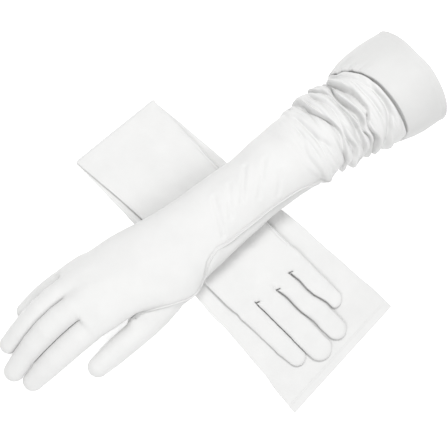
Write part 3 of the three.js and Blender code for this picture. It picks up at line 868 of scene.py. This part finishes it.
def cord_piece(name, path, radius):
    """A stitched edge: a thin cord along a path, with a bead at every stitch."""
    path = resample(path, max(8, int(np.linalg.norm(np.diff(path, axis=0), axis=1).sum() / WELT_STEP)))
    ahead = np.gradient(path, axis=0)
    ahead /= np.linalg.norm(ahead, axis=1)[:, None]
    side = np.cross(ahead, [0, 0, 1])
    side /= np.linalg.norm(side, axis=1)[:, None]
    top = np.cross(side, ahead)
    length = np.concatenate([[0], np.cumsum(np.linalg.norm(np.diff(path, axis=0), axis=1))])
    ends = np.minimum(1, np.minimum(length, length[-1] - length) / (radius * 2) + 0.05)
    size = radius * ends * (1 + 0.2 * np.cos(2 * math.pi * length / STITCH_LENGTH))
    turn = np.arange(8) * math.pi / 4
    ring = side[:, None, :] * np.cos(turn)[None, :, None] + top[:, None, :] * np.sin(turn)[None, :, None]
    points = path[:, None, :] + ring * size[:, None, None]
    piece = mesh_object(name, points.reshape(-1, 3), grid_faces(len(path), len(turn)))
    return finish_piece(piece, THREAD)


def add_right_seams():
    """Two rows of stitching along the side seam."""
    x = np.arange(HAND_END_X, SEAM_END_X, 1.0)
    for number, radius in enumerate(WELT_RADII):
        path = sleeve_surface(x, seam_angle(x)[..., 0] + SECOND_ROW_ANGLE * number, 0.15)
        piece = cord_piece(f"right_forearm_welt_{number + 1}", path, radius)
        bend_x(piece, "right_forearm", "right_cuff", SLEEVE_START_X, SLEEVE_STRETCH_END_X)
        piece = cord_piece(f"right_hand_welt_{number + 1}", hand_seam_path(number), radius)
        bend_x(piece, "right_forearm", "right_hand", *WRIST_BEND)


def band_section(start, finish):
    """The band's closed section: x and distance out from the arm's skin."""
    near = start + BAND_INSET
    shares = np.linspace(0, 1, BAND_ROWS)[1:-1]
    rows = [(near - 0.99 * math.sin(t), 0.5 - BAND_ROLL * math.cos(t)) for t in ROLL_TURNS]
    for share in shares:
        hem_crease = 0.2 * math.exp(-(((share - 0.86) / 0.02) ** 2))
        swell = 0.5 * math.sin(math.pi * share) - hem_crease
        rows.append((near + (finish - near) * share, BAND_OUTER + swell))
    rows += [(finish + math.sin(t), 1.0 + BAND_ROLL * math.cos(t)) for t in ROLL_TURNS]
    rows += [(near + (finish - near) * share, BAND_INNER) for share in shares[::-1]]
    return rows


def add_cuff_band():
    """Two smooth plies with rolled edges."""
    angle = np.arange(ARM_ROUND) * 360 / ARM_ROUND
    start = band_edge(angle)
    rows = band_section(start, BAND_END_X - 2.4 * shown(angle, (15, 75)))
    x = np.stack([row[0] for row in rows])
    out = np.stack([np.full(ARM_ROUND, row[1]) for row in rows])
    a = np.broadcast_to(angle, x.shape)
    arc = np.radians(a) * BAND_RADIUS
    out = out + 0.25 * waves(3, x * 0.6, arc, 5, 40, 90)
    # Small tucks into the band, on the far side.
    drawn = shown(a, (-25, 50)) * np.exp(-np.abs(x - start[None, :]) / 7)
    out = out + drawn * (waves(9, x * 0.3, arc, 5, 4, 9, slant=0.3 + math.pi / 2) - 0.3)
    y, z = tube_point(x, a, out)
    points = np.stack([x, y, z], -1).reshape(-1, 3)
    # The last row joins the first.
    faces = grid_faces(len(rows) + 1, ARM_ROUND) % len(points)
    piece = mesh_object("right_cuff_band_fabric", points, faces)
    finish_piece(piece, BAND)
    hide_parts("right_cuff_band", "right_cuff_hem", "right_cuff_elastic")
    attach(piece, "right_cuff")


# --- left glove
def leaf_middle(y):
    """Height of the middle of the folded-over half."""
    rise = 1.35 * smoothstep(0, -46, y) + 0.9 * smoothstep(116, 92, y)
    drop = 1.2 * smoothstep(-62, -92, y)
    return SLEEVE_Z + 2 * ROLL_RADIUS + rise - drop


def leaf_half(y):
    """Half the thickness of the folded-over half and its hand."""
    return PLY_HALF + 0.75 * smoothstep(0, -46, y) + 0.5 * smoothstep(-66, -92, y)


def edge_profile(inward):
    """Thickness of a flattened tube near its edge, as a share of the full thickness."""
    share = np.clip(inward / EDGE_ROUNDING, 0, 1)
    return np.sqrt(np.clip(1 - (1 - share) ** 2.4, 0, 1))


def flat_section(width):
    """Round a flattened tube: places across it, and height as a share of its half."""
    inward = EDGE_ROUNDING * (1 - np.cos(np.linspace(0, math.pi / 2, 9))) ** 1.3
    inner = width / 2 - EDGE_ROUNDING
    run = np.linspace(-inner, inner, 72)[1:-1]
    across = np.concatenate([-(width / 2 - inward), run, (width / 2 - inward)[::-1]])
    upper = np.column_stack([across, edge_profile(width / 2 - np.abs(across))])
    lower = np.column_stack([upper[::-1, 0], -upper[::-1, 1]])[1:-1]
    return np.concatenate([upper, lower])


def unevenness(x, y):
    """Gentle dents and swells of cloth that lies flat."""
    broad = 0.38 * waves(11, x, y, 7, 26, 64, slant=2.0)
    drag = 0.13 * waves(12, x + 0.5 * y, y * 0.3, 6, 10, 22, slant=0.5)
    return broad + drag


def sleeve_unevenness(x, y, ease=1.0):
    """The same on the sleeve half, kept clear of what lies on it."""
    return np.minimum(unevenness(x, y) * ease * 0.7, 0.5)


def edge_sway(y, seed):
    """How far a cut edge wanders from its straight line."""
    calm = np.concatenate([np.linspace(1, 0, LOWER_ROWS) ** 0.3, np.zeros(LEAF_ROWS)])
    return 0.5 * waves(seed, y, np.zeros_like(y), 4, 24, 70) * calm


def left_tube_rows():
    """Sections from the hem to the fold, round it and back: two ends, height, half thickness, turn."""
    left = np.concatenate([resample(LOWER_LEFT, LOWER_ROWS), resample(LEAF_LEFT, LEAF_ROWS)])
    right = np.concatenate([resample(LOWER_RIGHT, LOWER_ROWS), resample(LEAF_RIGHT, LEAF_ROWS)])
    left[:, 0] += edge_sway(left[:, 1], 21)
    right[:, 0] += edge_sway(right[:, 1], 22)
    rows = [(left[k], right[k], SLEEVE_Z, PLY_HALF, 0.0) for k in range(LOWER_ROWS)]
    for k in range(ROLL_ROWS):
        turn = math.pi * (k + 1) / (ROLL_ROWS + 1)
        out = AWAY * ROLL_RADIUS * math.sin(turn)
        z = SLEEVE_Z + ROLL_RADIUS * (1 - math.cos(turn))
        rows.append((left[LOWER_ROWS - 1] + out, right[LOWER_ROWS - 1] + out, z, PLY_HALF, turn))
    for low, high in zip(left[LOWER_ROWS:], right[LOWER_ROWS:]):
        y = (low[1] + high[1]) / 2
        rows.append((low, high, leaf_middle(y), leaf_half(y), math.pi))
    return rows


def left_tube_points():
    """Points of the flattened tube, row by row."""
    points = []
    for low, high, z, half, turn in left_tube_rows():
        width = np.linalg.norm(high - low)
        section = flat_section(width)
        up = section[:, 1] * half
        plan = (low + high) / 2 + section[:, :1] * (high - low) / width
        plan = plan - AWAY * (up * math.sin(turn))[:, None]
        points.append(np.column_stack([plan, z + up * math.cos(turn)]))
    points = np.array(points)
    x, y, z = points[..., 0], points[..., 1], points[..., 2]
    row = np.arange(len(points))[:, None]
    lower = row < LOWER_ROWS - 1
    leaf = row > LOWER_ROWS + ROLL_ROWS
    top_side = np.where(leaf, z > leaf_middle(y), z > SLEEVE_Z)
    ease_lower = smoothstep(0, 12, LOWER_ROWS - 1 - row)
    ease_leaf = smoothstep(0, 12, row - LOWER_ROWS - ROLL_ROWS)
    ease_wrist = smoothstep(LEFT_WRIST_Y, LEFT_WRIST_Y + 12, y)
    points[..., 2] += np.where(lower & top_side, sleeve_unevenness(x, y, ease_lower), 0)
    points[..., 2] += np.where(leaf & top_side, unevenness(x, y) * ease_leaf * ease_wrist, 0)
    return points


def add_left_sleeve():
    """One flattened tube from the hem, round the fold and back to the wrist."""
    points = left_tube_points()
    fold_start, fold_end = LOWER_ROWS - 1, LOWER_ROWS + ROLL_ROWS
    parts = {
        "sleeve": (0, fold_start),
        "fold": (fold_start, fold_end),
        "forearm": (fold_end, len(points) - 1),
    }
    made = {}
    for name, (first, last) in parts.items():
        block = points[first:last + 1]
        faces = grid_faces(len(block), points.shape[1])
        made[name] = fabric_piece(f"left_{name}_fabric", block.reshape(-1, 3), faces)
    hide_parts("left_sleeve_lower_ply", "left_sleeve_upper_ply", "left_sleeve_seam",
                "left_hem_lower", "left_hem_upper")
    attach(made["sleeve"], "left_sleeve")
    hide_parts("left_fold_roll")
    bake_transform(made["fold"])
    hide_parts("left_forearm_lower_ply", "left_forearm_upper_ply", "left_forearm_seam")
    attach(made["forearm"], "left_leaf")


def outline_field(rows, x, y):
    """Plan distance to a chain of round-ended strips between rows of x, y, half width."""
    best = None
    for a, b in zip(rows, rows[1:]):
        dx, dy = b[0] - a[0], b[1] - a[1]
        t = np.clip(((x - a[0]) * dx + (y - a[1]) * dy) / (dx * dx + dy * dy), 0, 1)
        f = np.hypot(x - a[0] - t * dx, y - a[1] - t * dy) - (a[2] + (b[2] - a[2]) * t)
        best = f if best is None else smooth_min(best, f, 1.0)
    return best


def palm_outline(x, y):
    """Plan distance to the flat palm."""
    half = np.interp(-y, -LEFT_PALM[:, 1], LEFT_PALM[:, 2])
    middle = np.interp(-y, -LEFT_PALM[:, 1], LEFT_PALM[:, 0])
    return smooth_max(np.abs(x - middle) - half, -72.0 - y, 4.0)


def slot_field(name, between, y):
    """Plan distance to the slot beside a finger, with a short cut across its closed end."""
    crotch, half_gap, wander = LEFT_SLOTS[name]
    across = between + wander * np.sin((y - crotch) / 5.5)
    gap = smooth_max(np.abs(across) - half_gap, y - crotch, 0.8)
    beak = smooth_max(np.abs(y - crotch + 0.3 * across) - 0.45, np.abs(across - 1.6) - 2.0, 0.5)
    return np.minimum(gap, beak)


def left_plan(x, y, only=None):
    """Plan distance to the flat hand with its four fingers, or to only one of them."""
    fields = {name: outline_field(rows, x, y) for name, rows in LEFT_FINGERS.items()}
    joined = None
    for f in fields.values():
        joined = f if joined is None else smooth_min(joined, f, 0.4)
    plan = smooth_min(joined, palm_outline(x, y), 2.0)
    names = list(fields)
    for a, b in zip(names, names[1:]):
        plan = smooth_max(plan, -slot_field(a, (fields[a] - fields[b]) / 2, y), 0.5)
    for other, g in fields.items():
        if only is not None and other != only:
            plan = np.maximum(plan, (fields[only] - g) / 2)
    return plan


def left_hand_field(x, y, z, only=None):
    """Distance to the flat hand, lying on what is under it."""
    plan = left_plan(x, y, only)
    inside = np.clip(-plan, 0, None)
    half = leaf_half(y) * edge_profile(inside) - np.maximum(plan, 0)
    beyond = smoothstep(LEFT_WRIST_Y - 2, LEFT_WRIST_Y - 16, y) * np.clip(inside / 3.0, 0, 1)
    swell = 0.35 * waves(5, x, y, 5, 18, 44, slant=2.0) + 0.05 * waves(6, x, y, 6, 7, 14, slant=1.2)
    height = z - leaf_middle(y)
    return np.where(height > 0, height - half - swell * beyond, -height - half)


def add_left_hand():
    points, faces = mesh_field(left_hand_field, *LEFT_HAND_BOX, LEFT_CELL)
    points, faces = cut_mesh(points, faces, 1, LEFT_WRIST_Y, keep_above=False)
    points, faces = cut_mesh(points, faces, 1, LEFT_FINGER_CUT_Y, keep_above=True)
    piece = fabric_piece("left_hand_fabric", points, faces)
    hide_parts("left_palm", "left_hand_back", "left_hand_seam", "left_thumb", "left_hand_piping")
    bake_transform(piece)
    for name, rows in LEFT_FINGERS.items():
        add_left_finger(name, np.array(rows))


def add_left_finger(name, rows):
    reach = rows[:, 2].max() + 3
    low = (rows[:, 0].min() - reach, rows[-1, 1] - rows[-1, 2] - 2, LEFT_HAND_BOX[0][2])
    high = (rows[:, 0].max() + reach, LEFT_FINGER_CUT_Y + 3, LEFT_HAND_BOX[1][2])
    points, faces = mesh_field(lambda x, y, z: left_hand_field(x, y, z, name), low, high, LEFT_CELL)
    points, faces = cut_mesh(points, faces, 1, LEFT_FINGER_CUT_Y, keep_above=False)
    piece = fabric_piece(f"left_{name}_fabric", points, faces)
    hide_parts(f"left_{name}")
    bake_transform(piece)


def add_left_seams():
    """Stitching along the folded half's outer edge, and above the hem."""
    edge = resample(LEAF_RIGHT, 150)
    edge = edge[edge[:, 1] < LEAF_WELT_END_Y]
    for number, (inset, radius) in enumerate(LEAF_WELTS):
        share = edge_profile(np.full(len(edge), inset))
        z = leaf_middle(edge[:, 1]) + leaf_half(edge[:, 1]) * share + 0.05
        path = np.column_stack([edge[:, 0] - inset, edge[:, 1], z])
        piece = cord_piece(f"left_forearm_welt_{number + 1}", path, radius)
        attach(piece, "left_leaf")
    start, end = LOWER_LEFT[0], LOWER_RIGHT[0]
    along_hem = (end - start) / np.linalg.norm(end - start)
    inward = np.array([-along_hem[1], along_hem[0]])
    for number, inset in enumerate(HEM_STITCHES):
        plan = start + (end - start) * np.linspace(0.03, 0.97, 120)[:, None] + inward * inset
        path = np.column_stack([plan, 2 * PLY_HALF + 0.03 + sleeve_unevenness(*plan.T)])
        piece = cord_piece(f"left_hem_stitch_{number + 1}", path, HEM_RADIUS)
        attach(piece, "left_sleeve")


add_camera()
add_floor()
add_light()
add_right_hand()
add_right_thumb()
add_right_fingers()
add_right_sleeve()
add_right_seams()
add_cuff_band()
add_left_sleeve()
add_left_hand()
add_left_seams()
